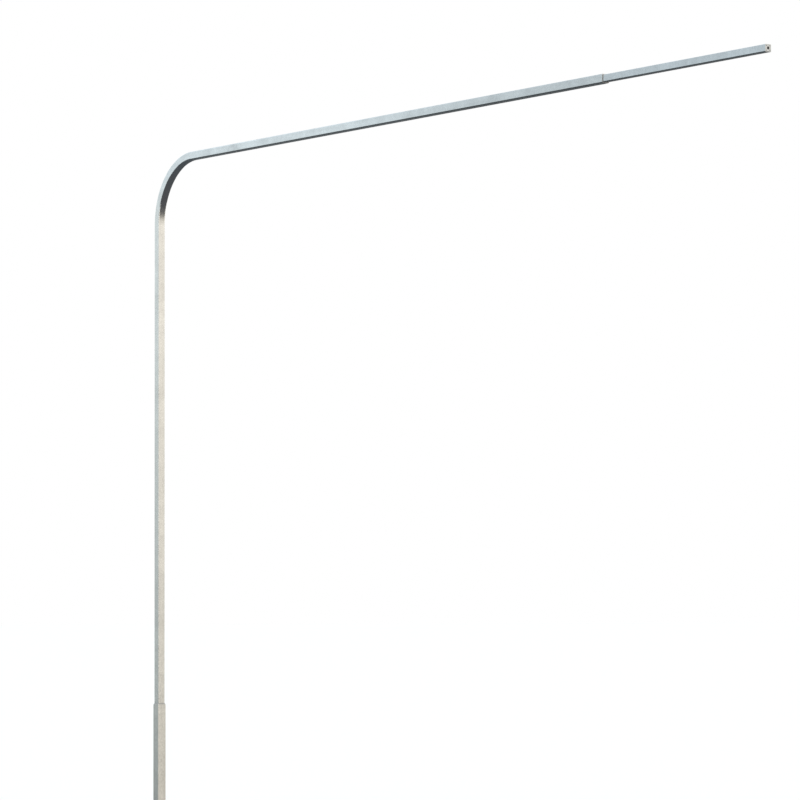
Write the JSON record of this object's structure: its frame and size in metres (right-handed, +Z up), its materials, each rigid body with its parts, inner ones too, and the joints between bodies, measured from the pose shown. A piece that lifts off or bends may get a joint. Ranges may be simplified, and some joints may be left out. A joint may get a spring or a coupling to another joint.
{
  "type": "street lamp post",
  "caption": "Square galvanised steel street lamp post with a swept bend, a long level stepped arm and a service door in its base section.",
  "frame": {"origin": "centre of the base flange's underside, where it rests on its foundation", "axes": "+Z up the post, +X out along the arm; the service door is on the -X face"},
  "size_m": [11.93, 0.4, 8.5],
  "materials": {
    "galvanised_base": "hot-dip galvanised, dull spangle",
    "galvanised_shaft": "hot-dip galvanised, dull spangle",
    "galvanised_tip": "hot-dip galvanised, dull spangle",
    "galvanised_plate": "hot-dip galvanised plate",
    "zinc_weld": "weld bead, galvanised over",
    "hinge_steel": "galvanised, worn at the joint",
    "stainless_screw": "satin stainless",
    "zinc_plated": "bright zinc plated sheet",
    "lock_zinc": "die-cast zinc, satin chromed",
    "brass_stud": "plain brass",
    "copper_lug": "tinned copper",
    "seal_rubber": "black EPDM",
    "module_grey": "light grey polyamide",
    "lever_black": "black polyamide",
    "carrier_grey": "dark grey polyamide",
    "fuse_ceramic": "white ceramic with metal caps",
    "terminal_grey": "grey polyamide",
    "terminal_blue": "blue polyamide",
    "terminal_green": "green and yellow polyamide",
    "cable_black": "black PVC sheath",
    "core_brown": "brown PVC",
    "core_blue": "blue PVC",
    "core_green": "green and yellow PVC"
  },
  "bodies": {
    "post": {"base_flange": "galvanised_plate", "base_gussets": "galvanised_plate", "foot_weld": "zinc_weld", "base_tube": "galvanised_base", "base_collar": "galvanised_base", "collar_weld": "zinc_weld", "shaft_and_arm_tube": "galvanised_shaft", "arm_tip_tube": "galvanised_tip", "arm_step_weld": "zinc_weld", "shaft_packers": "galvanised_plate", "arm_packers": "galvanised_plate", "tip_end_plate": "galvanised_tip", "tip_grommet": "seal_rubber", "hinge_knuckles_post": "hinge_steel", "hinge_pins": "stainless_screw", "hinge_washers": "brass_stud", "plate_brackets": "galvanised_plate", "mounting_plate": "zinc_plated", "plate_screws": "stainless_screw", "equipment_rail_lower": "zinc_plated", "equipment_rail_upper": "zinc_plated", "rail_screws": "stainless_screw", "rail_end_stops": "terminal_grey", "breaker_body": "module_grey", "breaker_lever_pin": "stainless_screw", "fuse_holder_body": "module_grey", "fuse_carrier_pin": "stainless_screw", "live_terminals": "terminal_grey", "neutral_terminals": "terminal_blue", "earth_terminal": "terminal_green", "earth_stud": "brass_stud", "earth_washers": "brass_stud", "earth_nut": "brass_stud", "earth_lug": "copper_lug", "earth_wire": "core_green", "feed_wire": "core_brown", "jumper_wire": "core_brown", "live_core": "core_brown", "neutral_core": "core_blue", "earth_core": "core_green", "riser_cable": "cable_black", "cable_clamp": "lever_black", "clamp_screws": "stainless_screw"},
    "door": {"door_leaf": "galvanised_base", "door_seal": "seal_rubber", "hinge_knuckles_door": "hinge_steel", "lock_housings": "lock_zinc", "lock_nuts": "zinc_plated"},
    "lower_lock": {"lock_spindle_lower": "lock_zinc", "lock_pawl_lower": "zinc_plated", "lock_screw_lower": "stainless_screw"},
    "upper_lock": {"lock_spindle_upper": "lock_zinc", "lock_pawl_upper": "zinc_plated", "lock_screw_upper": "stainless_screw"},
    "breaker_lever": {"breaker_lever": "lever_black"},
    "fuse_carrier": {"fuse_carrier": "carrier_grey", "fuse_link": "fuse_ceramic"}
  },
  "joints": [
    {"name": "door_hinge", "type": "hinge", "parent": "post", "child": "door", "pos_m": [-0.066, 0.047, 0.93], "axis": [0, 0, -1], "range_deg": [0, 170]},
    {"name": "lower_lock_turn", "type": "hinge", "parent": "door", "child": "lower_lock", "pos_m": [-0.063, -0.024, 0.83], "axis": [1, 0, 0], "range_deg": [0, 90]},
    {"name": "upper_lock_turn", "type": "hinge", "parent": "door", "child": "upper_lock", "pos_m": [-0.063, -0.024, 1.03], "axis": [1, 0, 0], "range_deg": [0, 90]},
    {"name": "breaker_switch", "type": "hinge", "parent": "post", "child": "breaker_lever", "pos_m": [-0.017, -0.01815, 0.965], "axis": [0, -1, 0], "range_deg": [0, 50]},
    {"name": "fuse_carrier_swing", "type": "hinge", "parent": "post", "child": "fuse_carrier", "pos_m": [-0.017, -0.00055, 0.945], "axis": [0, -1, 0], "range_deg": [0, 50]}
  ]
}
